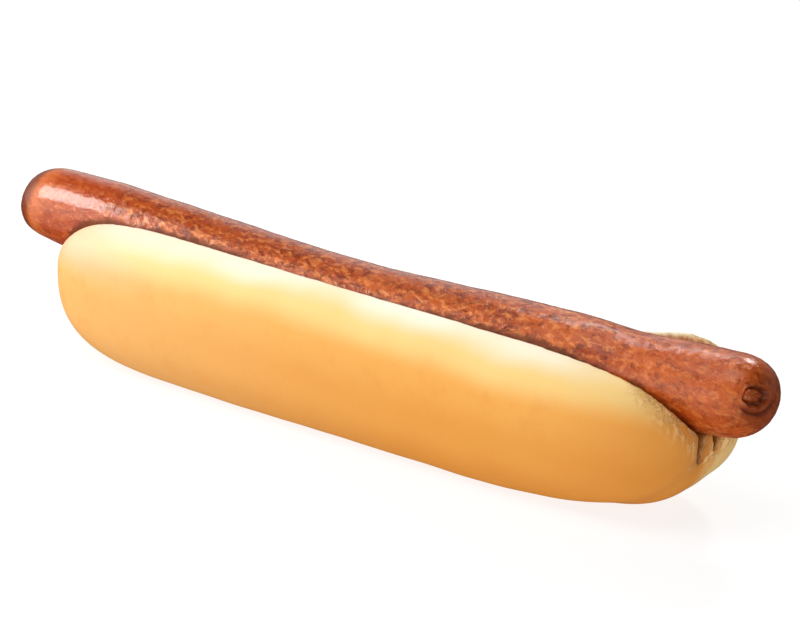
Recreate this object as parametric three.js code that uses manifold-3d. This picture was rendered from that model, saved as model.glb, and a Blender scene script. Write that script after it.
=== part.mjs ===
// A foot-long hot dog: one soft roll, sliced lengthways and standing on its hinge,
// with one long smoked sausage lying in the slot between its two halves.
//
// Millimetres, +Z up. The origin is on the table, under the middle of the object.
// +X runs along the sausage, and the fuller half of the roll is on the -Y side.

import * as THREE from 'three';
import { mergeVertices } from 'three/addons/utils/BufferGeometryUtils.js';
import Module from 'manifold-3d';

// ---- driving dimensions -------------------------------------------------------

// sausage: a twelve-inch frankfurter, rounded at both tips
const SAUSAGE_LENGTH = 307;
const SAUSAGE_RADIUS = 13.65;
const TIP_LENGTH = 15.7;         // the rounded stretch at each tip
const TIP_BLUNTNESS = 2.35;      // 2 is a half ellipse, more is blunter
const AXIS_HEIGHT = 40.5;        // the axis over the table, half-way along
const LEFT_TIP_RISE = 3.9;       // how much higher the axis is at each tip
const RIGHT_TIP_RISE = 4.5;
const TIP_SWERVE = 2.1;          // how much further back, +Y, the axis is at the tips
const WAVE_HEIGHT = 0.77;        // the axis also waves up and down by this much
const WAVE_LENGTH = 148;
const WAVE_TROUGH = -10.8;       // where along X the wave is lowest
// small bends in the axis: where along X, how far up or down, and how far they reach
const BENDS = [
  { along: -150, rise: -0.8, reach: 14 },
  { along: -115, rise: 0.5, reach: 12 },
  { along: 103, rise: -1, reach: 14 },
];

// the puckered knot where the casing closes, a little off the middle of each tip
const KNOT_OUTWARDS = -6.2;      // along Y from the axis
const KNOT_UPWARDS = 3.8;
const KNOT_RADIUS = 6;
const KNOT_DEPTH = 1.6;
const KNOT_FOLDS = 7;
const FOLD_HEIGHT = 0.35;

// roll: two rounded halves, joined along the bottom by a hinge of crust and crumb
const SLICE_SHIFT = 4.74;        // the slice lies behind the middle of the width
const FOOT_CUT = 1.2;            // what the flat foot takes off the rounded bottom
const CORNER_START = 80;         // along X, where the back half's upper corner starts
const CORNER_END = 125;          // to rise, and where it is all there
// Each lobe's ends are along X. Its middle and reaches are along Y, from the slice and
// from its own middle. A section power of 2 is an ellipse and more is squarer; an end
// power says how blunt that end is, and the right end can be blunter at its top.
const FRONT_HALF = {
  leftEnd: -125.3,
  rightEnd: 134.1,
  rightLift: 1.9,                // how far the right end curves up
  middle: -12.2,
  reachFront: 18.4,
  reachBack: 23.2,
  widestHeight: 28,
  leftCrown: 24.5,               // its top over the widest height, at each end
  rightCrown: 20.8,
  cornerRise: 0,                 // how much higher the upper right corner is
  sectionPower: 2.86,
  leftPower: 7.7,
  rightPower: 5.2,
  rightTopPower: 5.2,
};
const BACK_HALF = {
  leftEnd: -126.4,
  rightEnd: 137.4,
  rightLift: 2.7,
  middle: 10.6,
  reachFront: 22.7,
  reachBack: 10.5,
  widestHeight: 31.2,
  leftCrown: 16.7,
  rightCrown: 16.7,
  cornerRise: 8.6,
  sectionPower: 2.68,
  leftPower: 7.3,
  rightPower: 8.2,
  rightTopPower: 13,
};
const HINGE = {
  leftEnd: -105.4,
  rightEnd: 130.1,
  rightLift: 0,
  middle: 0,
  reachFront: 21.9,
  reachBack: 20,
  widestHeight: 18.6,
  leftCrown: 8,
  rightCrown: 10,
  cornerRise: 0,
  sectionPower: 3,
  leftPower: 5,
  rightPower: 7.3,
  rightTopPower: 7.3,
};

// slot: round under the sausage, flared above it, gaping at the right end, with a torn
// slit on either side of a ridge of crumb below
const FIT_GAP = 0.3;
const SLOT_FLARE = 1;            // on each side, one radius above the axis
const GAPE = 1.2;                // how far the front side stands off at the right end
const GAPE_START = 95;           // along X
const GAPE_END = 132;
// each slit's middle is along Y, from the slice, and its half width is at its mouth
const SLITS = [
  { middle: -3, halfWidth: 2, depth: 10 },
  { middle: 1.6, halfWidth: 0.9, depth: 5.5 },
];

const TABLE_DEPTH = 20;          // of the block that cuts the flat foot

// fineness of the faceted solids
const ROLL_AROUND = 36;
const ROLL_ALONG = 40;
const SLOT_STEPS = 16;
const SAUSAGE_AROUND = 32;
const SAUSAGE_STEPS = 14;        // straight stretch, from the middle to each tip
const TIP_STEPS = 9;

const wasm = await Module();
wasm.setup();

// ---- helpers ------------------------------------------------------------------

function signedPower(value, exponent) {
  return Math.sign(value) * Math.abs(value) ** exponent;
}

// moves every vertex of a geometry to where the given function puts it
function reshape(geometry, place) {
  const position = geometry.attributes.position;
  const point = new THREE.Vector3();
  for (let i = 0; i < position.count; i += 1) {
    point.fromBufferAttribute(position, i);
    place(point);
    position.setXYZ(i, point.x, point.y, point.z);
  }
  return geometry;
}

function toSolid(geometry) {
  geometry.deleteAttribute('normal');
  geometry.deleteAttribute('uv');
  const merged = mergeVertices(geometry, 1e-4);
  return new wasm.Manifold(new wasm.Mesh({
    numProp: 3,
    vertProperties: new Float32Array(merged.attributes.position.array),
    triVerts: new Uint32Array(merged.index.array),
  }));
}

function toMesh(solid, name, look) {
  const result = solid.getMesh();
  const geometry = new THREE.BufferGeometry();
  geometry.setAttribute('position', new THREE.BufferAttribute(result.vertProperties, 3));
  geometry.setIndex(new THREE.BufferAttribute(result.triVerts, 1));
  geometry.computeVertexNormals();
  const mesh = new THREE.Mesh(geometry, new THREE.MeshStandardMaterial(look));
  mesh.name = name;
  return mesh;
}

// The sausage's axis sags, swerves, waves and bends between its tips, and the slot
// follows it.
function followAxis(point) {
  const towardsTip = (2 * point.x / SAUSAGE_LENGTH) ** 2;
  const tipRise = point.x < 0 ? LEFT_TIP_RISE : RIGHT_TIP_RISE;
  const wave = -Math.cos(2 * Math.PI * (point.x - WAVE_TROUGH) / WAVE_LENGTH);
  point.y += SLICE_SHIFT + TIP_SWERVE * towardsTip;
  point.z += AXIS_HEIGHT + tipRise * towardsTip + WAVE_HEIGHT * wave;
  for (const { along, rise, reach } of BENDS) {
    point.z += rise * Math.exp(-(((point.x - along) / reach) ** 2));
  }
}

// ---- the roll -----------------------------------------------------------------

// One lobe of the roll. A unit sphere with its poles on X is stretched so that its
// sections are superellipses, which shrink towards blunt, rounded ends.
function rollLobe(lobe) {
  const { clamp, lerp, smoothstep } = THREE.MathUtils;
  const sphere = new THREE.SphereGeometry(1, ROLL_AROUND, ROLL_ALONG).rotateZ(-Math.PI / 2);
  return toSolid(reshape(sphere, (point) => {
    const along = clamp(point.x, -1, 1);
    const fromLeft = (along + 1) / 2;
    const turn = Math.atan2(point.z, point.y);
    const sideways = signedPower(Math.cos(turn), 2 / lobe.sectionPower);
    const upwards = signedPower(Math.sin(turn), 2 / lobe.sectionPower);
    const rightPower = lerp(lobe.rightPower, lobe.rightTopPower, Math.max(upwards, 0));
    const endPower = along < 0 ? lobe.leftPower : rightPower;
    const shrink = Math.sqrt(1 - Math.abs(along) ** endPower);
    point.x = lerp(lobe.leftEnd, lobe.rightEnd, fromLeft);
    const corner = lobe.cornerRise * smoothstep(point.x, CORNER_START, CORNER_END);
    const crown = lerp(lobe.leftCrown, lobe.rightCrown, fromLeft) + corner;
    const lift = lobe.rightLift * Math.max(along, 0) ** 4;
    const reach = sideways < 0 ? lobe.reachFront : lobe.reachBack;
    const rise = upwards < 0 ? lobe.widestHeight + FOOT_CUT : crown;
    point.y = SLICE_SHIFT + lobe.middle + shrink * reach * sideways;
    point.z = lobe.widestHeight + lift + shrink * rise * upwards;
  }));
}

// The slot is one section, drawn across the sausage's axis and swept along X. Its front
// side is then drawn out where it gapes, and the whole is bent to follow the axis.
function slot() {
  const radius = SAUSAGE_RADIUS + FIT_GAP;
  const mouth = radius + 4 * SLOT_FLARE;
  const section = new THREE.Shape();
  section.moveTo(radius, 0);
  section.quadraticCurveTo(radius, radius, mouth, 2 * radius);
  section.lineTo(-mouth, 2 * radius);
  section.quadraticCurveTo(-radius, radius, -radius, 0);
  let turn = Math.PI;
  for (const { middle, halfWidth, depth } of SLITS) {
    const slitStart = 2 * Math.PI - Math.acos((middle - halfWidth) / radius);
    section.absarc(0, 0, radius, turn, slitStart, false);
    section.lineTo(middle, -radius - depth);
    turn = 2 * Math.PI - Math.acos((middle + halfWidth) / radius);
  }
  section.absarc(0, 0, radius, turn, 2 * Math.PI, false);
  const swept = new THREE.ExtrudeGeometry(section, {
    depth: SAUSAGE_LENGTH,
    steps: SLOT_STEPS,
    curveSegments: 6,
    bevelEnabled: false,
  });
  return toSolid(reshape(swept, (point) => {
    point.set(point.z - SAUSAGE_LENGTH / 2, point.x, point.y);
    if (point.y < 0) {
      const gape = GAPE * THREE.MathUtils.smoothstep(point.x, GAPE_START, GAPE_END);
      point.y *= 1 + gape / radius;
    }
    followAxis(point);
  }));
}

function roll() {
  const table = new THREE.BoxGeometry(SAUSAGE_LENGTH, SAUSAGE_LENGTH, TABLE_DEPTH);
  table.translate(0, 0, -TABLE_DEPTH / 2);
  const lobes = rollLobe(FRONT_HALF).add(rollLobe(BACK_HALF)).add(rollLobe(HINGE));
  return lobes.subtract(slot()).subtract(toSolid(table));
}

// ---- the sausage --------------------------------------------------------------

// how far the rounded tip has fallen back at a distance from the axis
function tipFall(fromAxis) {
  const part = Math.min(fromAxis / SAUSAGE_RADIUS, 1);
  return TIP_LENGTH * (1 - (1 - part ** TIP_BLUNTNESS) ** (1 / TIP_BLUNTNESS));
}

// Radius and place along the axis, from tip to tip.
function sausageProfile() {
  const straight = SAUSAGE_LENGTH / 2 - TIP_LENGTH;
  const half = [];
  for (let i = 0; i <= SAUSAGE_STEPS; i += 1) {
    half.push([SAUSAGE_RADIUS, straight * i / SAUSAGE_STEPS]);
  }
  for (let i = 1; i <= TIP_STEPS; i += 1) {
    const radius = SAUSAGE_RADIUS * Math.cos(Math.PI / 2 * i / TIP_STEPS);
    half.push([radius, SAUSAGE_LENGTH / 2 - tipFall(radius)]);
  }
  const mirrored = half.slice(1).reverse().map(([radius, along]) => [radius, -along]);
  return [...mirrored, ...half].map(([radius, along]) => new THREE.Vector2(radius, along));
}

// The rings of each tip close in on the knot, where the casing is drawn into a
// dimple with folds running out of it.
function pucker(point) {
  const radius = Math.hypot(point.y, point.z);
  const towardsKnot = 1 - radius / SAUSAGE_RADIUS;
  const turn = Math.atan2(point.z, point.y);
  const intoKnot = Math.max(1 - radius / KNOT_RADIUS, 0);
  const dimple = KNOT_DEPTH * intoKnot ** 2 * (3 - 2 * intoKnot);
  const fold = FOLD_HEIGHT * Math.sin(Math.PI * intoKnot) * Math.cos(KNOT_FOLDS * turn);
  point.y += KNOT_OUTWARDS * towardsKnot;
  point.z += KNOT_UPWARDS * towardsKnot;
  const along = SAUSAGE_LENGTH / 2 - tipFall(Math.hypot(point.y, point.z)) - dimple + fold;
  point.x = Math.sign(point.x) * along;
}

function sausage() {
  const turned = new THREE.LatheGeometry(sausageProfile(), SAUSAGE_AROUND);
  turned.rotateZ(-Math.PI / 2);
  return toSolid(reshape(turned, (point) => {
    if (Math.abs(point.x) > SAUSAGE_LENGTH / 2 - TIP_LENGTH) {
      pucker(point);
    }
    followAxis(point);
  }));
}

// ---- the object ---------------------------------------------------------------

const hotDog = new THREE.Group();
hotDog.add(toMesh(roll(), 'bun', { color: 0xf0b861, roughness: 0.55, metalness: 0 }));
hotDog.add(toMesh(sausage(), 'sausage', { color: 0xa84a24, roughness: 0.3, metalness: 0 }));

export default hotDog;
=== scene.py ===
# %% [markdown]
# # A foot-long hot dog
# The real thing has two pieces: a soft white roll, sliced lengthways and standing on
# its hinge, and one long grilled sausage lying in the slice. This lesson builds both
# over a measured frame of plain solids, which fixes where everything is and how big
# it is. Shapes are worked out in metres, with +Z up and +X along the sausage.

# %% Load the frame
import math

import bpy
from mathutils import Matrix, Vector


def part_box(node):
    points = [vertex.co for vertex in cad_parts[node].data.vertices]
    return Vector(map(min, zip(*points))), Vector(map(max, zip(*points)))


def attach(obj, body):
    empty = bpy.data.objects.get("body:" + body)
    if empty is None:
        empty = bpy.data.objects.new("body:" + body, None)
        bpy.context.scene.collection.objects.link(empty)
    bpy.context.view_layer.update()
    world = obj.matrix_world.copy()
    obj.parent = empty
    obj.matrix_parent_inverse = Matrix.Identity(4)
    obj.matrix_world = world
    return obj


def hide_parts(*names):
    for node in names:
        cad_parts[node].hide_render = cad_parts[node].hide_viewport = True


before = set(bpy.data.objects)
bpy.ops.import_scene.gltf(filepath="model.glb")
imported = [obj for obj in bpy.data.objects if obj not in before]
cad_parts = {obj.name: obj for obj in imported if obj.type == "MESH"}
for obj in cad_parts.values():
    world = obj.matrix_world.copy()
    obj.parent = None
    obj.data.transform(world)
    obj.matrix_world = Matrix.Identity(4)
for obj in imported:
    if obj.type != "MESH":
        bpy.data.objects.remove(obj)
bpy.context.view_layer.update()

MM = 0.001

roll_low, roll_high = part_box("bun")
sausage_low, sausage_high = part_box("sausage")

# %% [markdown]
# ## Sums written as Python
# Shapes and materials below are node trees, and a tree of Math nodes is hard to read.
# So a node's output is wrapped in a small class that answers to +, -, * and the rest
# by adding the Math node for it. An expression such as `1 - mask` then reads as a sum
# and still ends up as nodes. The same class serves shape trees and material trees.

# %% Numbers that nodes work out
class Number:
    def __init__(self, nodes, socket):
        self.nodes = nodes
        self.socket = socket

    def output(self, name):
        return Number(self.nodes, self.socket.node.outputs[name])

    def __add__(self, other):
        return self.nodes.math("ADD", self, other)

    def __sub__(self, other):
        return self.nodes.math("SUBTRACT", self, other)

    def __rsub__(self, other):
        return self.nodes.math("SUBTRACT", other, self)

    def __mul__(self, other):
        return self.nodes.math("MULTIPLY", self, other)

    def __truediv__(self, other):
        return self.nodes.math("DIVIDE", self, other)

    def __rtruediv__(self, other):
        return self.nodes.math("DIVIDE", other, self)

    def __pow__(self, other):
        return self.nodes.math("POWER", self, other)

    def __abs__(self):
        return self.nodes.math("ABSOLUTE", self)

    def __lt__(self, other):
        return self.nodes.math("LESS_THAN", self, other)

    def __gt__(self, other):
        return self.nodes.math("GREATER_THAN", self, other)

    __radd__ = __add__
    __rmul__ = __mul__


print("sums with nodes can use + - * / ** abs < and >")

# %% [markdown]
# Every other node comes from one method. It takes the node's type, its settings, and
# the value or link of each input that isn't left alone. A few short methods on top of
# it cover what is used over and over: a smooth step, a mix of two colours, noise given
# by the size of its lumps, and a number written on a mesh or read from it.

# %% One method that adds any node
class Nodes:
    def __init__(self, tree):
        self.tree = tree

    def add(self, kind, settings=None, inputs=None, output=0):
        node = self.tree.nodes.new(kind)
        for name, value in (settings or {}).items():
            setattr(node, name, value)
        for name, value in (inputs or {}).items():
            self.fill(node.inputs[name], value)
        return Number(self, node.outputs[output] if node.outputs else None)

    def fill(self, socket, value):
        if isinstance(value, Number):
            self.tree.links.new(value.socket, socket)
        else:
            socket.default_value = value

    def math(self, operation, *values):
        return self.add("ShaderNodeMath", {"operation": operation}, dict(enumerate(values)))

    def vector(self, x, y, z):
        return self.add("ShaderNodeCombineXYZ", inputs={"X": x, "Y": y, "Z": z})

    def split(self, vector):
        parts = self.add("ShaderNodeSeparateXYZ", inputs={0: vector})
        return parts, parts.output("Y"), parts.output("Z")

    def stretch(self, vector, factor):
        """A vector times a number."""
        return self.add("ShaderNodeVectorMath", {"operation": "SCALE"}, {0: vector, "Scale": factor})

    def step(self, value, start, end):
        """0 before start, 1 after end, and a smooth curve between them."""
        settings = {"interpolation_type": "SMOOTHSTEP"}
        inputs = {"Value": value, "From Min": start, "From Max": end}
        return self.add("ShaderNodeMapRange", settings, inputs)

    def choose(self, mask, if_false, if_true):
        return if_false + mask * (if_true - if_false)

    def blend(self, share, first, second):
        """Mixes two colours."""
        settings = {"data_type": "RGBA", "blend_type": "MIX", "clamp_factor": True}
        return self.add("ShaderNodeMix", settings, {0: share, 6: first, 7: second}, output=2)

    def noise(self, place, lump, detail=2.0, roughness=0.5, distortion=0.0):
        """Soft random lumps of about the given size, around 0.5."""
        inputs = {
            "Vector": place,
            "Scale": 1 / lump,
            "Detail": detail,
            "Roughness": roughness,
            "Distortion": distortion,
        }
        return self.add("ShaderNodeTexNoise", inputs=inputs)

    def mark(self, mesh, name, value):
        """Writes a number on every point of a mesh, for its material to read."""
        settings = {"data_type": "FLOAT", "domain": "POINT"}
        inputs = {"Geometry": mesh, "Name": name, "Value": value}
        return self.add("GeometryNodeStoreNamedAttribute", settings, inputs)

    def read(self, name):
        """A number that a mesh was marked with."""
        return self.add("ShaderNodeAttribute", {"attribute_name": name}, output="Fac")


print("node helpers:", ", ".join(name for name in vars(Nodes) if not name.startswith("_")))

# %% [markdown]
# ## Shapes from Geometry Nodes
# A Geometry Nodes tree is a recipe: named sizes go in, a mesh comes out. Both pieces
# follow a rule, so both are recipes, which stay easy to resize. Each tree ends by making
# its copies real and giving them their material.

# %% Open and close a recipe
def shape_tree(title, sizes):
    tree = bpy.data.node_groups.new(title, "GeometryNodeTree")
    tree.interface.new_socket("Mesh", in_out="OUTPUT", socket_type="NodeSocketGeometry")
    for label in sizes:
        tree.interface.new_socket(label, in_out="INPUT", socket_type="NodeSocketFloat")
    nodes = Nodes(tree)
    given = tree.nodes.new("NodeGroupInput")
    size = {label: Number(nodes, given.outputs[label]) for label in sizes}
    print("opened the recipe", title, "with", len(size), "sizes")
    return nodes, size


def close_tree(nodes, mesh, material):
    real = nodes.add("GeometryNodeRealizeInstances", inputs={"Geometry": mesh})
    painted = nodes.add("GeometryNodeSetMaterial", inputs={"Geometry": real, "Material": material})
    result = nodes.tree.nodes.new("NodeGroupOutput")
    nodes.fill(result.inputs["Mesh"], painted)


# %% [markdown]
# The recipe could stay on its object as a live modifier, but everything after this
# wants plain meshes. So it is run once, its result is kept, and the object that ran it
# is thrown away. A modifier knows its inputs only by their identifiers, so each size is
# looked up by name first.

# %% Run a recipe once and keep its mesh
def show(thing):
    bpy.context.scene.collection.objects.link(thing)
    return thing


def grow(title, nodes, sizes):
    runner = show(bpy.data.objects.new("runner", bpy.data.meshes.new("runner")))
    modifier = runner.modifiers.new("Recipe", "NODES")
    modifier.node_group = nodes.tree
    for item in nodes.tree.interface.items_tree:
        if item.in_out == "INPUT":
            modifier[item.identifier] = float(sizes[item.name])
    graph = bpy.context.evaluated_depsgraph_get()
    mesh = bpy.data.meshes.new_from_object(runner.evaluated_get(graph))
    bpy.data.objects.remove(runner)
    mesh.name = title
    mesh.calc_loop_triangles()
    print(title, "has", len(mesh.loop_triangles), "triangles")
    return show(bpy.data.objects.new(title, mesh))


# %% [markdown]
# ## Colours and finishes
# Colours are picked as the eye sees them on a screen, 0 to 255, and shaders want light
# in proportion, so each is converted once in Python. A number that is the same all over
# a surface is set on the shader's own socket, and only what varies is linked. Patterns
# on food are a few millimetres wide, so a material is given its place in millimetres.

# %% Helpers for materials
def screen_colour(red, green, blue):
    def to_light(level):
        share = level / 255
        return share / 12.92 if share <= 0.04045 else ((share + 0.055) / 1.055) ** 2.4
    return (to_light(red), to_light(green), to_light(blue), 1.0)


def new_material(title):
    material = bpy.data.materials.new(title)
    material.use_nodes = True
    shader = material.node_tree.nodes["Principled BSDF"]
    return material, Nodes(material.node_tree), shader


def place_in_mm(nodes):
    return nodes.stretch(nodes.add("ShaderNodeTexCoord", output="Object"), 1 / MM)


def set_plain(shader, **values):
    for name, value in values.items():
        shader.inputs[name.replace("_", " ")].default_value = value


def set_relief(nodes, shader, height):
    """Dents the finish by a height in millimetres."""
    inputs = {"Height": height * MM, "Strength": 1.0, "Distance": 1.0}
    nodes.fill(shader.inputs["Normal"], nodes.add("ShaderNodeBump", inputs=inputs))


print("a screen's middle grey is", round(screen_colour(128, 128, 128)[0], 2), "of full light")

# %% [markdown]
# Food is never one colour, and its colours lie over each other without edges. So a
# finish is painted as a model maker would do it: a base coat, then thin layers. A layer
# has a colour, the most that it may cover, and ranges over which it fades in, such as
# `x=(60, -125)` for one that starts at x = 60 mm and is full at x = -125 mm. It can also
# follow a mark on the mesh. Adding a layer is then one line, and their order is plain.

# %% Painting in layers
def layer(colour, share=1, times=None, **fades):
    return {"colour": screen_colour(*colour), "share": share, "times": times, "fades": fades}


def paint(nodes, colour, layers, where):
    for coat in layers.values():
        share = coat["share"]
        if coat["times"]:
            share = share * where[coat["times"]]
        for name, (start, end) in coat["fades"].items():
            share = share * nodes.step(where[name], start, end)
        colour = nodes.blend(share, colour, coat["colour"])
    return colour


print("a layer holds its", ", ".join(layer((128, 128, 128), 0.5, x=(0, 10))))

# %% [markdown]
# ## The crust
# A soft roll is baked just long enough to turn golden. Its crust is brownest low down,
# turns gold and then yellow up the flanks, and is palest along the rim of the slice.
# That is partly its baked colour and partly painted light: painted shade low down and a
# painted highlight along the rim. The left end is painted paler and the right end darker,
# as painted light from the left. The back half is hardly baked at its right nose, and
# next to it the thin crust has browned and flaked along the torn rim. An image texture
# could be wrapped round the roll, but it would stretch and show seams, and layers that
# fade by height and length do neither.

# %% Layers of the crust
# partly painted light: the underside colour and the bands by height add painted shade low down and a
# painted highlight at the rim to the baked colour
CRUST_UNDERSIDE = screen_colour(220, 142, 50)
CRUST_LAYERS = {
    "lower flank": layer((230, 155, 62), level=(5, 18)),
    "flank": layer((240, 170, 78), level=(22, 36)),
    "shoulder": layer((248, 210, 132), level=(36, 46)),
    "rim": layer((252, 245, 224), level=(45, 51)),
    # painted light: the left end and its rim are painted paler, as if lit from the left
    "painted light on left end": layer((250, 208, 142), 0.35, x=(60, -125)),
    "painted highlight on left rim": layer((240, 206, 206), 0.4, x=(-60, -120), z=(30, 44)),
    # painted shade: the right end is painted darker, away from the light
    "painted shade on right end": layer((212, 124, 32), 0.4, x=(80, 130), z=(46, 34)),
    "mottling": layer((228, 148, 62), 0.25, mottle=(0.48, 0.72), z=(46, 34)),
    "speckles": layer((200, 128, 58), 0.12, speckle=(0.58, 0.8)),
    "pale nose": layer((232, 204, 136), 0.75, nose_x=(92, 130), nose_y=(3.5, 10)),
    "browned corner": layer((206, 128, 54), 0.25, times="corner"),
    "flakes": layer((250, 200, 134), 0.75, times="flaky"),
}
print("the crust has", len(CRUST_LAYERS), "layers")

# %% [markdown]
# ## The crumb
# The sliced and torn faces are sponge: cream and full of holes. The bottom of the slits
# is painted darker as shade, and so is the bread where it touches the sausage. The roll
# could have had its inside as a second mesh, but crust and crumb are one piece of bread.
# So one material covers both, and marks on the mesh say which is which.

# %% Layers of the crumb
CRUMB_HOLES = screen_colour(190, 128, 62)
CRUMB_LAYERS = {
    "sponge": layer((238, 204, 138), holes=(0.36, 0.58)),
    # painted shade at the bottom of the slits
    "painted shade in the slits": layer((170, 98, 28), 0.9, times="deep"),
}
# painted shade where the bread touches the sausage
CONTACT_SHADE_LAYERS = {
    "painted contact shade on bread": layer((168, 88, 24), 0.85, times="greasy"),
}
print("the crumb has", len(CRUMB_LAYERS) + len(CONTACT_SHADE_LAYERS), "layers")

# %% [markdown]
# The layers need to know where a point is and what is random there. Broad soft noise
# moves the bands up and down, so that none is straight, and the flakes are noise that
# is drawn out upwards, because a thin crust wrinkles across the rim. Multiplying a
# coordinate by less than 1 draws a pattern out along it.

# %% Places and patterns on the bread
BAND_DRIFT = 9
BAND_SLOPE = 0.012
NOSE_DRIFT = 10
CORNER = (108, 122)
FLAKE_EDGES = (0.44, 0.62)
FLAKE_STRETCH = 0.45


def bread_patterns(nodes, place):
    x, y, z = nodes.split(place)
    drift = (nodes.noise(place, lump=40, detail=2) - 0.5) * BAND_DRIFT
    mottle = nodes.noise(place, lump=7, detail=4, roughness=0.6)
    upright = nodes.vector(x, y, z * FLAKE_STRETCH)
    flakes = nodes.noise(upright, lump=1.6, detail=3, roughness=0.6, distortion=0.5)
    where = {name: nodes.read(name) for name in ("crumb", "deep", "greasy", "rim")}
    where.update({
        "x": x,
        "z": z,
        "level": z + drift + x * BAND_SLOPE,
        "nose_x": x + drift,
        "nose_y": y + (mottle - 0.5) * NOSE_DRIFT,
        "mottle": mottle,
        "speckle": nodes.noise(place, lump=0.9, detail=3, roughness=0.6),
        "holes": nodes.noise(place, lump=1.5, detail=4, roughness=0.65),
        "corner": where["rim"] * nodes.step(x, *CORNER),
    })
    where["flaky"] = nodes.step(flakes, *FLAKE_EDGES) * where["corner"]
    return where


print("the bands of the crust drift by up to", BAND_DRIFT / 2, "mm either way")

# %% [markdown]
# The crust is satin, with only a faint grain, and the crumb is dull, with deep pores.
# A little light goes through bread and comes out warm, which Subsurface gives.

# %% Bread
CRUST_ROUGHNESS = 0.44
CRUMB_ROUGHNESS = 0.89
ROUGHNESS_SPREAD = 0.2
FINE_GRAIN = 0.02
BROAD_GRAIN = 0.1
FLAKE_HEIGHT = 0.45
PORE_DEPTH = 0.9


def bread_material():
    material, nodes, shader = new_material("soft roll crust and crumb")
    place = place_in_mm(nodes)
    where = bread_patterns(nodes, place)
    crust = paint(nodes, CRUST_UNDERSIDE, CRUST_LAYERS, where)
    crumb = paint(nodes, CRUMB_HOLES, CRUMB_LAYERS, where)
    colour = nodes.blend(where["crumb"], crust, crumb)
    nodes.fill(shader.inputs["Base Color"], paint(nodes, colour, CONTACT_SHADE_LAYERS, where))

    roughness = nodes.choose(where["crumb"], CRUST_ROUGHNESS, CRUMB_ROUGHNESS)
    roughness = roughness + (where["mottle"] - 0.5) * ROUGHNESS_SPREAD
    nodes.fill(shader.inputs["Roughness"], roughness)

    fine = nodes.noise(place, lump=0.6, detail=3, roughness=0.6) * FINE_GRAIN
    skin = fine + nodes.noise(place, lump=4, detail=3) * BROAD_GRAIN + where["flaky"] * FLAKE_HEIGHT
    set_relief(nodes, shader, nodes.choose(where["crumb"], skin, where["holes"] * PORE_DEPTH))
    set_plain(shader, Specular_IOR_Level=0.25, Subsurface_Weight=0.1)
    set_plain(shader, Subsurface_Scale=4 * MM, Subsurface_Radius=(1.0, 0.55, 0.25))
    return material


bread = bread_material()
print("made", bread.name, "from", len(bread.node_tree.nodes), "nodes")

# %% [markdown]
# ## The casing
# A grilled sausage is red-brown and never even: scorched where it touched the heat, and
# orange where the fat shines through. Its top is painted darker, as shade. Its left tip
# gets a painted orange rim light and a painted reflection of the table on its pink belly,
# and both tips end in a darker cap, which is browner casing with painted shade along the
# outline. Two marks on the mesh are painted darkest, as shade: the line where the casing
# dips into the bread, and the grooves of the knots, whose casing has also dried. These
# are layers again, and their edges are ragged, so that nothing looks like a painted ring.

# %% Layers of the casing
LEFT_TIP = (-90, -125)
CASING_BASE = screen_colour(190, 84, 24)
CASING_LAYERS = {
    "dull blotches": layer((166, 62, 14), blotch=(0.36, 0.66)),
    "scorch marks": layer((118, 34, 3), 0.9, scorch=(0.48, 0.62)),
    "fat spots": layer((234, 138, 68), times="fattiness", spots=(0.47, 0.66)),
    # painted shade: the top of the sausage is painted darker
    "painted shade along the top": layer((120, 40, 4), 0.32, above_axis=(10, 12.6), x=(85, 25)),
    "left tip": layer((172, 62, 8), 0.6, x=LEFT_TIP),
    "right tip": layer((196, 84, 22), 0.35, x=(90, 125)),
    # painted light: an orange rim light band near the left tip
    "painted rim light on left tip": layer((232, 130, 66), 0.4, ragged_x=(-132, -141)),
    # painted reflection: the table's reflection painted pink on the left tip's underside
    "painted table reflection on belly": layer((222, 128, 88), 0.45, ragged_z=(38, 32), x=(-118, -130)),
    # partly painted shade: the caps are browner casing, darkened further to paint the tips' dark
    # outlines
    "left cap with painted edge shade": layer((104, 40, 8), 0.85, cap_x=(-141, -145.5)),
    "right cap with painted edge shade": layer((104, 40, 8), 0.6, cap_x=(146, 152)),
    # painted shade: a dark line where the casing dips into the bread
    "painted contact shade line": layer((104, 42, 8), 0.85, times="tucked"),
    # partly painted shade: the knot grooves are dried casing, painted darker as shade
    "painted shade in knot grooves": layer((92, 28, 6), 0.9, times="groove"),
}
print("the casing has", len(CASING_LAYERS), "layers")

# %% [markdown]
# Meat is stuffed in along its length, so the scorch marks and fat spots are noise that
# is drawn out that way. The spots also lean, and start from another part of the noise,
# or they would lie on top of the scorch marks.

# %% Places and patterns on the casing
SCORCH_STRETCH = 0.7
SPOT_STRETCH = 0.6
SPOT_LEAN = 0.3
SPOT_START = 500
RAGGEDNESS = 8
CAP_RAGGEDNESS = 0.4 * RAGGEDNESS
MIDDLE_HEIGHT = 40.5
RISES_1_MM_AT = 75
SPOT_SHARE = 0.82
SPOT_SHARE_AT_RIGHT = 0.6
FEWER_SPOTS = (60, 120)


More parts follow.
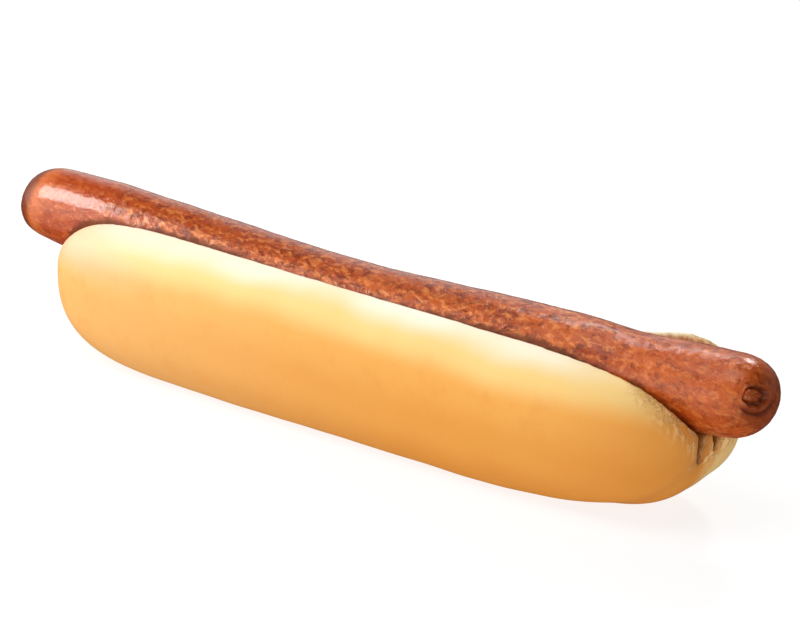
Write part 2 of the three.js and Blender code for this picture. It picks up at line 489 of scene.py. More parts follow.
def casing_patterns(nodes, place):
    x, y, z = nodes.split(place)
    blotch = nodes.noise(place, lump=11, detail=3, roughness=0.6, distortion=0.4)
    lengthways = nodes.vector(x * SCORCH_STRETCH, y, z)
    leaning = nodes.vector(x * SPOT_STRETCH + z * SPOT_LEAN + SPOT_START, y, z)
    at_right = nodes.step(x, *FEWER_SPOTS)
    return {
        "x": x,
        "blotch": blotch,
        "scorch": nodes.noise(lengthways, lump=2.6, detail=4, roughness=0.65, distortion=0.3),
        "spots": nodes.noise(leaning, lump=1.9, detail=4, roughness=0.6, distortion=0.3),
        "fattiness": nodes.choose(at_right, SPOT_SHARE, SPOT_SHARE_AT_RIGHT),
        "above_axis": z - MIDDLE_HEIGHT - (x / RISES_1_MM_AT) ** 2,
        "ragged_x": x + (blotch - 0.5) * RAGGEDNESS,
        "ragged_z": z + (blotch - 0.5) * RAGGEDNESS,
        "cap_x": x + (blotch - 0.5) * CAP_RAGGEDNESS,
        "tucked": nodes.read("tucked"),
        "groove": nodes.read("groove"),
    }


print("layers with ragged edges wander by up to", RAGGEDNESS / 2, "mm")

# %% [markdown]
# Fat makes the casing shine, most at the left tip, so a thin clear coat lies over it,
# and the line against the bread is dull. The skin has shrunk into tiny pebbles. They
# are far too many to model one by one, so the finest are dents in the finish, and only
# the larger ones are in the mesh.

# %% Sausage casing
CASING_ROUGHNESS = 0.25
TUCKED_ROUGHNESS = 0.3
COAT = 0.25
EXTRA_COAT_AT_LEFT_TIP = 0.2
PEBBLE_DENT = 0.36
SCORCH_DENT = 0.12
SKIN_DENT = 0.04


def casing_material():
    material, nodes, shader = new_material("grilled sausage casing")
    place = place_in_mm(nodes)
    where = casing_patterns(nodes, place)
    nodes.fill(shader.inputs["Base Color"], paint(nodes, CASING_BASE, CASING_LAYERS, where))

    roughness = CASING_ROUGHNESS + (where["blotch"] - 0.5) * ROUGHNESS_SPREAD
    nodes.fill(shader.inputs["Roughness"], roughness + where["tucked"] * TUCKED_ROUGHNESS)
    coat = COAT + nodes.step(where["x"], *LEFT_TIP) * EXTRA_COAT_AT_LEFT_TIP
    nodes.fill(shader.inputs["Coat Weight"], coat * (1 - where["tucked"]))

    pebbles = nodes.noise(place, lump=1.4, detail=3, roughness=0.6) * PEBBLE_DENT
    grain = nodes.noise(place, lump=0.6, detail=2) * SKIN_DENT
    set_relief(nodes, shader, pebbles + where["scorch"] * SCORCH_DENT + grain)
    set_plain(shader, IOR=1.45, Coat_Roughness=0.15, Specular_Tint=(1, 0.86, 0.7, 1))
    set_plain(shader, Subsurface_Weight=0.05)
    set_plain(shader, Subsurface_Scale=3 * MM, Subsurface_Radius=(1.0, 0.35, 0.15))
    return material


casing = casing_material()
print("made", casing.name, "from", len(casing.node_tree.nodes), "nodes")

# %% [markdown]
# ## The sausage's axis
# The sausage sags in the middle, its tips swerve towards the back, and it waves a
# little up and down. It could follow a curve object, but the slot in the roll has to
# follow the same line. So the line is a rule, written once and used in both recipes.
# Three small bends, near the tips, are added in a loop.

# %% A line that both pieces follow
AXIS = {
    "Sausage Length": sausage_high.x - sausage_low.x,
    "Sausage Radius": 13.65 * MM,
    "Slice Shift": 4.74 * MM,
    "Axis Height": MIDDLE_HEIGHT * MM,
    "Left Tip Rise": 3.9 * MM,
    "Right Tip Rise": 4.5 * MM,
    "Tip Swerve": 2.1 * MM,
    "Wave Height": 0.77 * MM,
    "Wave Length": 148 * MM,
    "Wave Trough": -10.8 * MM,
}
BENDS = (
    {"along": -150 * MM, "rise": -0.8 * MM, "reach": 14 * MM},
    {"along": -115 * MM, "rise": 0.5 * MM, "reach": 12 * MM},
    {"along": 103 * MM, "rise": -1 * MM, "reach": 14 * MM},
)


def axis_at(nodes, x, size):
    towards_tip = (2 * x / size["Sausage Length"]) ** 2
    tip_rise = nodes.choose(x > 0, size["Left Tip Rise"], size["Right Tip Rise"])
    turns = (x - size["Wave Trough"]) / size["Wave Length"]
    wave = size["Wave Height"] * nodes.math("COSINE", turns * (2 * math.pi))
    y = size["Slice Shift"] + size["Tip Swerve"] * towards_tip
    z = size["Axis Height"] + tip_rise * towards_tip - wave
    for bend in BENDS:
        away = (x - bend["along"]) / bend["reach"]
        z = z + bend["rise"] * nodes.math("EXPONENT", -1 * away ** 2)
    return y, z


print("the sausage is", round(AXIS["Sausage Length"] / MM, 1), "mm long")

# %% [markdown]
# ## The roll
# The roll could be sculpted, or cut with Booleans, but a Boolean leaves knife edges
# where bread has soft ones. So it is built as a field: for every point in space, a
# number says about how far outside the bread that point lies. Two fields join by
# taking the smaller one, and a cut takes the larger one with the other turned round.
# The smooth versions of both round the edges off by themselves.
#
# The loaf is three rounded lobes. The section of each is a superellipse, whose power
# says how square it is, and the power of an end says how blunt that end is. The front
# half is the fullest.

# %% Sizes of the front half
LOBES = {}
LOBES["Front"] = {
    "Left End": roll_low.x + 1.1 * MM,
    "Right End": roll_high.x - 3.3 * MM,
    "Right Lift": 1.9 * MM,
    "Middle": -12.2 * MM,
    "Reach Front": 18.4 * MM,
    "Reach Back": 23.2 * MM,
    "Widest Height": 28 * MM,
    "Left Crown": 24.5 * MM,
    "Right Crown": 20.8 * MM,
    "Corner Rise": 0,
    "Section Power": 2.86,
    "Left Power": 7.7,
    "Right Power": 5.2,
    "Right Top Power": 5.2,
}
print("the front half reaches from", round(LOBES["Front"]["Left End"] / MM, 1), "mm along X")

# %% [markdown]
# The back half is thinner and lower, but its right corner was pulled up when the roll
# was opened, and its rim looks over the sausage there.

# %% Sizes of the back half
LOBES["Back"] = {
    "Left End": roll_low.x,
    "Right End": roll_high.x,
    "Right Lift": 2.7 * MM,
    "Middle": 10.6 * MM,
    "Reach Front": 22.7 * MM,
    "Reach Back": 10.5 * MM,
    "Widest Height": 31.2 * MM,
    "Left Crown": 16.7 * MM,
    "Right Crown": 16.7 * MM,
    "Corner Rise": 8.6 * MM,
    "Section Power": 2.68,
    "Left Power": 7.3,
    "Right Power": 8.2,
    "Right Top Power": 13,
}
print("its right corner rises by", round(LOBES["Back"]["Corner Rise"] / MM, 1), "mm")

# %% [markdown]
# The hinge is the uncut strip along the bottom. It is a low lobe that the two halves
# run into, and the flat foot on which the roll stands is cut from it.

# %% Sizes of the hinge
LOBES["Hinge"] = {
    "Left End": roll_low.x + 21 * MM,
    "Right End": roll_high.x - 7.2 * MM,
    "Right Lift": 0,
    "Middle": 0,
    "Reach Front": 21.9 * MM,
    "Reach Back": 20 * MM,
    "Widest Height": 18.6 * MM,
    "Left Crown": 8 * MM,
    "Right Crown": 10 * MM,
    "Corner Rise": 0,
    "Section Power": 3,
    "Left Power": 5,
    "Right Power": 7.3,
    "Right Top Power": 7.3,
}
print("the loaf has", len(LOBES), "lobes")

# %% [markdown]
# The other sizes are those of the joints between the lobes, of the slot and of what is
# torn. Where two fields join smoothly, the size of the joint says how much bread fills
# the corner between them.

# %% Sizes of the joints and of the slot
ROLL = {
    **AXIS,
    "Joint": 1.2 * MM,
    "End Joint": 4 * MM,
    "Low Left Joint": 11 * MM,
    "Low Right Joint": 3 * MM,
    "Back Right Joint": 2.2 * MM,
    "Swell": 0.9 * MM,
    "Foot Cut": 1.2 * MM,
    "Foot Roundness": 0.8 * MM,
    "Fit Gap": 0.3 * MM,
    "Slot Flare": 1 * MM,
    "Gape": 1.2 * MM,
    "Tear": 1.3 * MM,
    "Tear Loss": 0.25 * MM,
    "Front Slit": -3.6 * MM,
    "Front Slit Half Width": 1.8 * MM,
    "Front Slit Depth": 10 * MM,
    "Back Slit": 1 * MM,
    "Back Slit Half Width": 1.3 * MM,
    "Back Slit Depth": 6 * MM,
    "Rim Roundness": 1.6 * MM,
    **{f"{lobe} {label}": value for lobe, sizes in LOBES.items() for label, value in sizes.items()},
}
print("the roll is", round((roll_high.x - roll_low.x) / MM, 1), "mm long")

# %% [markdown]
# A lobe's surface is where |along| ^ end power + ratio ^ 2 makes 1. The ratio says how
# far out a point lies in its section. That sum alone isn't a distance, so it is divided
# by how fast it grows, and then roundings and noise come out equally large everywhere.

# %% Distance from one lobe
RAISED_CORNER = (80 * MM, 125 * MM)
NEVER_ZERO = 1e-9
SLOWEST_GROWTH = 12.0


def lobe_distance(nodes, place, lobe, size):
    def given(label):
        return size[f"{lobe} {label}"]

    x, y, z = place
    half = (given("Right End") - given("Left End")) / 2
    along = (x - given("Left End")) / half - 1
    on_right = along > 0
    lift = given("Right Lift") * on_right * along ** 4
    beside = y - size["Slice Shift"] - given("Middle")
    above = z - given("Widest Height") - lift
    corner = given("Corner Rise") * nodes.step(x, *RAISED_CORNER)
    crown = corner + nodes.choose(0.5 + along / 2, given("Left Crown"), given("Right Crown"))
    reach = nodes.choose(beside > 0, given("Reach Front"), given("Reach Back"))
    rise = nodes.choose(above > 0, given("Widest Height") + size["Foot Cut"], crown)
    power = given("Section Power")

    sideways = abs(beside) / reach
    upwards = abs(above) / rise
    ratio = (sideways ** power + upwards ** power + NEVER_ZERO) ** (1 / power)
    near_top = (above > 0) * upwards / ratio
    right_power = nodes.choose(near_top, given("Right Power"), given("Right Top Power"))
    end_power = nodes.choose(on_right, given("Left Power"), right_power)
    excess = abs(along) ** end_power + ratio ** 2 - 1

    # how fast that sum grows along X, Y and Z
    growth_x = end_power * abs(along) ** (end_power - 1) / half
    spread = 2 * ratio ** (2 - power)
    growth_y = spread * sideways ** (power - 1) / reach
    growth_z = spread * upwards ** (power - 1) / rise
    growth = (growth_x ** 2 + growth_y ** 2 + growth_z ** 2) ** 0.5
    return excess / nodes.math("MAXIMUM", growth, SLOWEST_GROWTH)


print("the back half's corner rises from x =", RAISED_CORNER[0] / MM, "mm")

# %% [markdown]
# The three lobes run into each other smoothly, and more so towards the ends. At the
# left end the low joint is filled most. At the right end the back half stays apart from
# the front one, so that its nose keeps its own outline.

# %% The whole loaf
ROLL_ENDS = (95 * MM, 125 * MM)
BELOW_SLICE = (30 * MM, 18 * MM)


def loaf_distance(nodes, spot, place, size):
    x, y, z = place
    on_right = x > 0
    at_ends = nodes.step(abs(x), *ROLL_ENDS)
    low_joint = nodes.choose(on_right, size["Low Left Joint"], size["Low Right Joint"])
    joint = size["Joint"] + at_ends * (size["End Joint"] + low_joint * nodes.step(z, *BELOW_SLICE))
    tight_joint = size["Joint"] + at_ends * size["Back Right Joint"]
    back_joint = nodes.choose(on_right, joint, tight_joint)

    front, back, hinge = (lobe_distance(nodes, place, lobe, size) for lobe in LOBES)
    lobes = nodes.math("SMOOTH_MIN", nodes.math("SMOOTH_MIN", front, hinge, joint), back, back_joint)
    return lobes + (nodes.noise(spot, lump=30 * MM, detail=1) - 0.5) * size["Swell"]


print("the lobes run together beyond x =", ROLL_ENDS[0] / MM, "mm on either side")

# %% [markdown]
# The slot is round where the sausage lies and flares a little above it. Towards the
# right end its front side gapes away from the sausage. Below, the bread was pulled open
# rather than cut: a narrow slit runs down on either side of a torn ridge of crumb.

# %% Distances from the sausage and from the slot
GAPING = (95 * MM, 132 * MM)
SHUT = 0.01


def sausage_distance(nodes, place, size):
    x, y, z = place
    axis_y, axis_z = axis_at(nodes, x, size)
    return ((y - axis_y) ** 2 + (z - axis_z) ** 2) ** 0.5 - size["Sausage Radius"]


def slit_distance(nodes, across, above_slot, side, size):
    """Narrows to nothing at the slit's depth below the slot, and is far off below that."""
    depth = size[f"{side} Slit Depth"]
    narrowing = nodes.math("MAXIMUM", (above_slot + depth) / depth, 0.0) ** 0.5
    off_slit = abs(across - size[f"{side} Slit"])
    return off_slit - size[f"{side} Slit Half Width"] * narrowing + (narrowing < SHUT) * depth


def slot_distance(nodes, place, size):
    x, y, z = place
    axis_y, axis_z = axis_at(nodes, x, size)
    radius = size["Sausage Radius"] + size["Fit Gap"]
    gaping = nodes.step(x, *GAPING) * (y < axis_y)
    across = (y - axis_y) / (1 + gaping * size["Gape"] / radius)
    above = z - axis_z
    below_axis = (across ** 2 + above ** 2) ** 0.5 - radius
    over_axis = abs(across) - radius - size["Slot Flare"] * (above / radius) ** 2
    opening = nodes.choose(above > 0, below_axis, over_axis)
    for side in ("Front", "Back"):
        slit = slit_distance(nodes, across, above + radius, side, size)
        opening = nodes.math("MINIMUM", opening, slit)
    return opening


print("the front side gapes from x =", GAPING[0] / MM, "mm")

# %% [markdown]
# A field has no surface yet. A Volume Cube samples it on a grid, and Volume to Mesh
# wraps a closed skin round the part that lies inside. A volume holds the density of a
# cloud, which grows inwards, so the field is turned round and lifted above zero. The
# grid is coarser along X, where the roll changes slowly.

# %% From a field to a skin
VOXEL = Vector((1.2, 0.75, 0.75)) * MM
MARGIN = Vector((3, 3, 3)) * MM
LEVEL = 10.0


def skin_round(nodes, distance):
    low = roll_low - MARGIN
    high = roll_high + MARGIN
    counts = [round((high[i] - low[i]) / VOXEL[i]) for i in range(3)]
    inputs = {
        "Density": LEVEL - distance / MM,
        "Background": 0.0,
        "Min": low,
        "Max": high,
        "Resolution X": counts[0],
        "Resolution Y": counts[1],
        "Resolution Z": counts[2],
    }
    print("the field is sampled on a grid of", counts)
    cloud = nodes.add("GeometryNodeVolumeCube", inputs=inputs)
    return nodes.add("GeometryNodeVolumeToMesh", inputs={"Volume": cloud, "Threshold": LEVEL})


# %% [markdown]
# Four marks tell the material what a point is: crumb lies deeper than the crust, deep
# crumb lies below the sausage and is painted as shade, bread that touches the sausage
# gets painted contact shade, and the rim is crust that lies near the slot. Each is
# worked out from a field that is there already.

# %% Marks on the bread
CRUMB_INSIDE = (-0.5 * MM, -2.2 * MM)
SLIT_SHADE_INSIDE = (-0.4 * MM, -1.6 * MM)
UNDER_AXIS = (-6 * MM, -10 * MM)
CONTACT_SHADE_REACH = (1.5 * MM, 0.5 * MM)
NEAR_SLOT = (9 * MM, 2 * MM)


def bread_marks(nodes, place, loaf, slot, size):
    to_sausage = sausage_distance(nodes, place, size)
    under_sausage = nodes.step(place[2] - size["Axis Height"], *UNDER_AXIS)
    return {
        "crumb": nodes.step(loaf, *CRUMB_INSIDE),
        # painted shade: bread near the sausage is marked to be painted dark
        "greasy": nodes.step(to_sausage, *CONTACT_SHADE_REACH),
        # painted shade: crumb deep below the sausage is marked to be painted dark
        "deep": nodes.step(loaf, *SLIT_SHADE_INSIDE) * under_sausage,
        "rim": nodes.step(slot, *NEAR_SLOT),
    }


print("the rim is marked up to", NEAR_SLOT[0] / MM, "mm from the slot")


# %% [markdown]
# The recipe puts these together. The slot's walls are torn by noise before they are cut
# out, and the foot is cut last, with the smooth version of a cut both times.

# %% Recipe for the roll
def roll_recipe():
    nodes, size = shape_tree("Sliced roll", ROLL)
    spot = nodes.add("GeometryNodeInputPosition")
    place = nodes.split(spot)
    loaf = loaf_distance(nodes, spot, place, size)
    torn = (nodes.noise(spot, lump=3 * MM, detail=3, roughness=0.6) - 0.5) * size["Tear"]
    slot = slot_distance(nodes, place, size) + torn - size["Tear Loss"]
    sliced = nodes.math("SMOOTH_MAX", loaf, -1 * slot, size["Rim Roundness"])
    standing = nodes.math("SMOOTH_MAX", sliced, -1 * place[2], size["Foot Roundness"])

    mesh = skin_round(nodes, standing)
    for name, value in bread_marks(nodes, place, loaf, slot, size).items():
        mesh = nodes.mark(mesh, name, value)
    smooth = nodes.add("GeometryNodeSetShadeSmooth", inputs={"Geometry": mesh})
    close_tree(nodes, smooth, bread)
    return nodes


roll = grow("sliced_roll", roll_recipe(), ROLL)

# %% [markdown]
# ## The sausage
# A link ends in a knot, where the casing was twisted off. It sits a little off the
# middle of the tip: a nub inside a sunken ring, a lip of casing round it, and a crease
# below. The left tip is also pinched from below.

# %% Sizes of the sausage
SAUSAGE = {
    **AXIS,
    "Tip Length": 15.7 * MM,
    "Tip Bluntness": 2.35,
    "Pinch": 0.2,
    "Knot Outwards": -8.8 * MM,
    "Knot Upwards": 5.2 * MM,
    "Knot Radius": 6 * MM,
    "Knot Depth": 1 * MM,
    "Knot Folds": 7,
    "Fold Height": 0.25 * MM,
    "Fold Twist": 2.5,
    "Nub Height": 1 * MM,
    "Nub Radius": 2.3 * MM,
    "Ring Radius": 3.3 * MM,
    "Ring Width": 0.8 * MM,
    "Ring Depth": 1.1 * MM,
    "Lip Radius": 4.9 * MM,
    "Lip Width": 0.9 * MM,
    "Lip Height": 0.5 * MM,
    "Crease Radius": 6.6 * MM,
    "Crease Width": 0.7 * MM,
    "Crease Depth": 0.8 * MM,
    "Pebble Height": 0.3 * MM,
    "Ripple Height": 0.9 * MM,
    # sizes of the line of painted contact shade
    "Shade Line Width": 2.5 * MM,
    "Shade Line Slope": 0.006,
    "Shade Line Wander": 4 * MM,
    "Wider In The Middle": 1.8 * MM,
    "Shade Line Fade": 1.1 * MM,
}
print("each knot is", round(2 * SAUSAGE["Knot Radius"] / MM, 1), "mm across")

# %% [markdown]
# The knot could be modelled by hand, but as a sum of rings round its middle it is the
# same rule for both tips. No ring is a true circle: each is flattened, uneven and
# deeper in places, or the knot would look turned on a lathe. The unevenness is noise on
# the ball that the sausage is made from, and that ball's radius is 1.

# %% The knot in each tip
KNOT_LUMP = 0.35
KNOT_FLATNESS = 0.3
KNOT_UNEVENNESS = 0.4
SHALLOWEST_RING = 0.45
NUB_EDGE = (1.4, 0.6)
CREASE_BELOW = (0.0, -0.6)


def ring_of(nodes, radius, middle, width):
    """1 on a ring of the given radius, and a soft fall to 0 on either side of it."""
    away = (radius - middle) / width
    return nodes.math("EXPONENT", -1 * away ** 2)


def knot_relief(nodes, radius, turn, size):
    """How far the casing stands out round the knot, and how deep in a groove it is."""
    upwards = nodes.math("SINE", turn)
    spot = nodes.add("GeometryNodeInputPosition")
    uneven = nodes.noise(spot, lump=KNOT_LUMP, detail=2, roughness=0.6)
    radius = radius * (1 + KNOT_FLATNESS * abs(upwards)) * (1 + KNOT_UNEVENNESS * (uneven - 0.5))
    into_knot = nodes.math("MAXIMUM", 1 - radius / size["Knot Radius"], 0.0)
    dimple = size["Knot Depth"] * into_knot ** 2 * (3 - 2 * into_knot)
    wave = nodes.math("COSINE", turn * size["Knot Folds"] + into_knot * size["Fold Twist"])
    fold = size["Fold Height"] * nodes.math("SINE", into_knot * math.pi) * wave
    nub_start, nub_full = (size["Nub Radius"] * share for share in NUB_EDGE)
    nub = size["Nub Height"] * nodes.step(radius, nub_start, nub_full)
    lip = size["Lip Height"] * ring_of(nodes, radius, size["Lip Radius"], size["Lip Width"])

    ring = ring_of(nodes, radius, size["Ring Radius"], size["Ring Width"])
    ring = ring * (SHALLOWEST_RING + uneven)
    crease = ring_of(nodes, radius, size["Crease Radius"], size["Crease Width"])
    crease = crease * nodes.step(upwards, *CREASE_BELOW)
    grooves = size["Ring Depth"] * ring + size["Crease Depth"] * crease
    return nub + fold + lip - dimple - grooves, nodes.math("MINIMUM", ring + crease, 1.0)


print("the knots are flattened by", KNOT_FLATNESS)

# %% [markdown]
# The sausage itself could be a swept curve, but its tips would need caps. A UV sphere
# is already closed, poles and all, so it is pulled out into a tube. Its rings are shared
# out again: most go along the straight stretch, and the rest close in on the knot in
# each tip. The left tip's knot is on the far side.

# %% From a ball to a tube
SAUSAGE_AROUND = 144
SAUSAGE_RINGS = 560
TIP_SHARE = 0.26


def ball_to_tube(nodes, size):
    """Where each point of a ball goes on a straight tube, and how deep in a groove it is."""
    ball_x, ball_y, ball_z = nodes.split(nodes.add("GeometryNodeInputPosition"))
    from_middle = 1 - nodes.math("ARCCOSINE", ball_z) * (2 / math.pi)
    side = nodes.math("SIGN", from_middle)
    out = abs(from_middle)
    turn = nodes.math("ARCTAN2", ball_y, ball_x)
    into_tip = nodes.math("MAXIMUM", (out - (1 - TIP_SHARE)) / TIP_SHARE, 0.0)
    tube = size["Sausage Radius"]
    radius = tube * nodes.math("COSINE", into_tip * (math.pi / 2))

    towards_knot = 1 - radius / tube
    y = radius * nodes.math("COSINE", turn) + side * size["Knot Outwards"] * towards_knot
    z = radius * nodes.math("SINE", turn) + size["Knot Upwards"] * towards_knot
    off_axis = nodes.math("MINIMUM", (y ** 2 + z ** 2) ** 0.5 / tube, 1.0)
    bluntness = size["Tip Bluntness"]
    fall = size["Tip Length"] * (1 - (1 - off_axis ** bluntness) ** (1 / bluntness))
    knot, groove = knot_relief(nodes, radius, turn, size)

    half = size["Sausage Length"] / 2
    on_straight = out / (1 - TIP_SHARE) * (half - size["Tip Length"])
    x = side * nodes.choose(into_tip > 0, on_straight, half - fall + knot)
    return (x, y, z), groove * (into_tip > 0)


print("the casing is a net of", SAUSAGE_AROUND, "by", SAUSAGE_RINGS, "faces")

# %% [markdown]
# The left tip of the straight tube is pinched, and the tube is laid along the axis.
# Then its skin is pushed in and out by noise: pebbles where the casing has shrunk, and
# broad ripples where the meat has.

# %% Bending and roughening the tube
PINCHED = (-127 * MM, -144 * MM)


def lie_on_axis(nodes, place, size):
    x, y, z = place
    pinch = size["Pinch"] * nodes.step(x, *PINCHED)
    z = z - pinch * nodes.math("MINIMUM", z, 0.0)
    axis_y, axis_z = axis_at(nodes, x, size)
    return nodes.vector(x, y + axis_y, z + axis_z)


def roughen(nodes, mesh, size):
    spot = nodes.add("GeometryNodeInputPosition")
    pebbles = (nodes.noise(spot, lump=2.6 * MM, detail=3, roughness=0.6) - 0.5) * size["Pebble Height"]
    ripples = (nodes.noise(spot, lump=26 * MM, detail=1) - 0.5) * size["Ripple Height"]
    offset = nodes.stretch(nodes.add("GeometryNodeInputNormal"), pebbles + ripples)
    return nodes.add("GeometryNodeSetPosition", inputs={"Geometry": mesh, "Offset": offset})


print("the left tip is pinched from x =", PINCHED[0] / MM, "mm")

# %% [markdown]
# A dark line of painted shade lies where the casing dips into the bread. Painting it by
# height would miss the rim, which isn't level. So each point of the casing is marked by
# how near the roll's mesh is. The line wanders, and it is widest in the middle.

# %% The painted contact shade line
MIDDLE_STRETCH = (105 * MM, 70 * MM)


# painted shade: marks how near the bread each point is, for a dark painted line
def contact_shade_line(nodes, size):
    spot = nodes.add("GeometryNodeInputPosition")
    along = nodes.split(spot)[0]
    wander = (nodes.noise(spot, lump=4 * MM, detail=3, roughness=0.6) - 0.5) * size["Shade Line Wander"]
    wider = nodes.step(abs(along), *MIDDLE_STRETCH) * size["Wider In The Middle"]
    reach = size["Shade Line Width"] - along * size["Shade Line Slope"] + wander + wider

    settings = {"transform_space": "ORIGINAL"}
    bread_mesh = nodes.add("GeometryNodeObjectInfo", settings, {"Object": roll}, output="Geometry")
    settings = {"target_element": "FACES"}
    gap = nodes.add("GeometryNodeProximity", settings, {"Geometry": bread_mesh}, output="Distance")
    return nodes.step(gap, reach, reach - size["Shade Line Fade"])


print("the painted contact shade line is about", round(SAUSAGE["Shade Line Width"] / MM, 1), "mm wide")

# %% [markdown]
# The recipe makes the ball, marks the grooves of the knots while it is still a ball,
# pulls it out into a tube, lays that along the axis, roughens it and marks the line of
# painted contact shade.

# %% Recipe for the sausage
def sausage_recipe():
    nodes, size = shape_tree("Sausage", SAUSAGE)
    inputs = {"Segments": SAUSAGE_AROUND, "Rings": SAUSAGE_RINGS, "Radius": 1.0}
    ball = nodes.add("GeometryNodeMeshUVSphere", inputs=inputs)
    place, groove = ball_to_tube(nodes, size)
    grooved = nodes.mark(ball, "groove", groove)
    inputs = {"Geometry": grooved, "Position": lie_on_axis(nodes, place, size)}
    tube = nodes.add("GeometryNodeSetPosition", inputs=inputs)
    marked = nodes.mark(roughen(nodes, tube, size), "tucked", contact_shade_line(nodes, size))
    smooth = nodes.add("GeometryNodeSetShadeSmooth", inputs={"Geometry": marked})
    close_tree(nodes, smooth, casing)
    return nodes


sausage = grow("smoked_sausage", sausage_recipe(), SAUSAGE)

# %% [markdown]
# ## Tie the pieces to the frame
# Each piece rides on the frame's one body and stands for the plain solid under it,
# which is hidden.

# %% Ride and replace
for piece, node, finish in ((roll, "bun", "bread"), (sausage, "sausage", "sausage_casing")):
    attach(piece, "root")
    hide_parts(node)
    print(piece.name, "stands for", node)

# %% [markdown]
# ## The floor
# Food is often shown on a white sweep that fades into the background. A plain white
# floor would come out much darker in the shade. So this one glows, and it sends back
# only a little of the lamps' light, which keeps the shadow pale. It is left out of
# reflections, because the tent has a calmer table of its own.

# %% Floor
FLOOR_HALF = 12.0
FLOOR_CORNERS = ((-1, -1), (1, -1), (1, 1), (-1, 1))


def floor_material():
    material, _, shader = new_material("white table")
    set_plain(shader, Base_Color=(0.2, 0.2, 0.2, 1), Roughness=0.8)
    set_plain(shader, Emission_Color=(1, 1, 1, 1), Emission_Strength=0.82)
    return material


floor_mesh = bpy.data.meshes.new("floor")
corners = [(x * FLOOR_HALF, y * FLOOR_HALF, 0) for x, y in FLOOR_CORNERS]
floor_mesh.from_pydata(corners, [], [(0, 1, 2, 3)])
floor_mesh.materials.append(floor_material())
floor = show(bpy.data.objects.new("floor", floor_mesh))
floor.visible_glossy = False
print("the floor is", 2 * FLOOR_HALF, "m wide")

# %% [markdown]
# ## The lights
# Five soft boxes stand in a studio tent. The key light draws the broad highlight on the
# left tip and brightens the roll's left rim. The top light and the front card fill the
# flank. The back strip draws a thin streak along the sausage's right end, and the spark
# is one bright spot on the right tip. Sun or spot lamps would be simpler, but a glossy
# casing mirrors its lamps, so their shapes matter.

# %% Lights
def soft_light(title, place, faces, size, power):
    """A soft box at a place, facing a point, with its width level."""
    lamp = bpy.data.lights.new(title, "AREA")
    lamp.shape = "RECTANGLE"
    lamp.size, lamp.size_y = size
    lamp.energy = power
    place = Vector(place)
    turn = (place - Vector(faces)).to_track_quat("Z", "Y").to_matrix().to_4x4()
    holder = show(bpy.data.objects.new(title, lamp))
    holder.matrix_world = Matrix.Translation(place) @ turn
    print(title, "gives", power, "W")


soft_light("key", (-0.495, -0.22, 0.385), (-0.495, 0, 0.05), size=(0.15, 0.27), power=2.35)
soft_light("top light", (-0.05, -0.30, 1.0), (0, 0, 0.05), size=(0.8, 0.8), power=5.2)
soft_light("front card", (-0.75, -1.0, 0.25), (-0.1, 0, 0.03), size=(1.1, 0.5), power=2.2)
soft_light("back strip", (-0.195, 0.31, 0.47), (0.13, 0.33, 0.056), size=(0.4, 0.04), power=0.62)
soft_light("spark", (0.02, 0.446, 0.446), (0.145, 0.006, 0.056), size=(0.1, 0.09), power=1.1)

# %% [markdown]
# ## The tent
# The tent is the world's light, worked out from the direction in which one looks. Its
# walls are bright, and it is open above. Its back wall is hung with black cloth but for
# one gap, an old studio trick, which keeps the outlines of both tips dark. In front,
# the reflection in the table carries the wall's light on below the horizon.

# %% Tent
WALL = 0.88
WALL_SLOPE = 0.3
DARK = 0.05
CLOTH_SHADE = 0.75
CLOTH = (-0.1, 0.2)
GAP_RIGHT_EDGE = (-0.49, -0.56)
GAP_LEFT_EDGE = (-0.685, -0.645)
TABLE = (-0.3, -0.6)
TABLE_DEPTH = 0.6
HORIZON = (-0.1, -0.02)
OPEN_ABOVE = (0.68, 0.38)


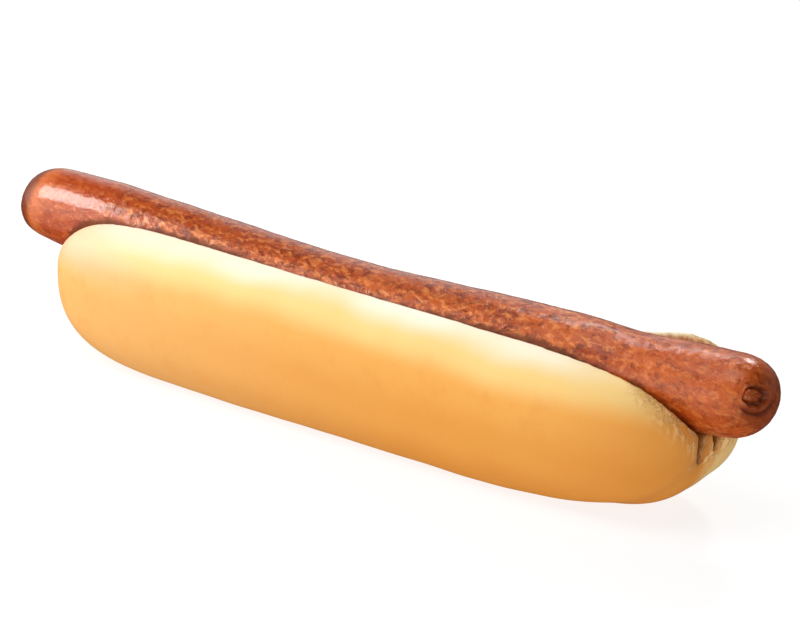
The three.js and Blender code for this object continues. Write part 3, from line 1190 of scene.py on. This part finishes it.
def tent_strength(tent):
    sideways, forwards, upwards = tent.split(tent.add("ShaderNodeTexCoord", output="Generated"))
    wall = WALL - sideways * WALL_SLOPE
    gap = tent.step(sideways, *GAP_RIGHT_EDGE) * tent.step(sideways, *GAP_LEFT_EDGE)
    cloth = tent.step(forwards, *CLOTH) * (1 - gap)
    table = tent.step(forwards, *TABLE) * TABLE_DEPTH
    above_table = tent.step(upwards + table, *HORIZON)
    lit = above_table * tent.step(upwards, *OPEN_ABOVE) * (1 - CLOTH_SHADE * cloth)
    return tent.choose(lit, DARK, wall)


world = bpy.data.worlds.new("studio tent")
world.use_nodes = True
tent = Nodes(world.node_tree)
sky = world.node_tree.nodes["Background"]
sky.inputs["Color"].default_value = (1, 1, 1, 1)
tent.fill(sky.inputs["Strength"], tent_strength(tent))
bpy.context.scene.world = world
bpy.context.scene.view_settings.view_transform = "Standard"
print("the tent's left wall is", round(WALL + WALL_SLOPE, 2), "bright")

# %% [markdown]
# ## The camera
# The camera stands in front and to the right, a little over a metre away, and looks
# down at a gentle angle, as on a table top. Its lens is long, so that the near end
# isn't swollen. It is placed by angles round the point it aims at, which are easier to
# correct than a position.

# %% Camera
CAMERA_AIM = Vector((7.7, 10.19, 34.6)) * MM
CAMERA_AZIMUTH = math.radians(36.554)
CAMERA_ELEVATION = math.radians(21.708)
CAMERA_ROLL = math.radians(0.674)
CAMERA_DISTANCE = 1.1445
CAMERA_LENS = 154.89
SENSOR_WIDTH = 36

back = Vector((
    math.sin(CAMERA_AZIMUTH) * math.cos(CAMERA_ELEVATION),
    -math.cos(CAMERA_AZIMUTH) * math.cos(CAMERA_ELEVATION),
    math.sin(CAMERA_ELEVATION),
))
level_right = Vector((math.cos(CAMERA_AZIMUTH), math.sin(CAMERA_AZIMUTH), 0))
level_up = back.cross(level_right)
right = math.cos(CAMERA_ROLL) * level_right + math.sin(CAMERA_ROLL) * level_up
up = back.cross(right)
lens = bpy.data.cameras.new("camera")
lens.lens = CAMERA_LENS
lens.sensor_width = SENSOR_WIDTH
camera = show(bpy.data.objects.new("camera", lens))
turned = Matrix((right, up, back)).transposed().to_4x4()
camera.matrix_world = Matrix.Translation(CAMERA_AIM + back * CAMERA_DISTANCE) @ turned
bpy.context.scene.camera = camera
print("camera at", tuple(camera.matrix_world.translation))
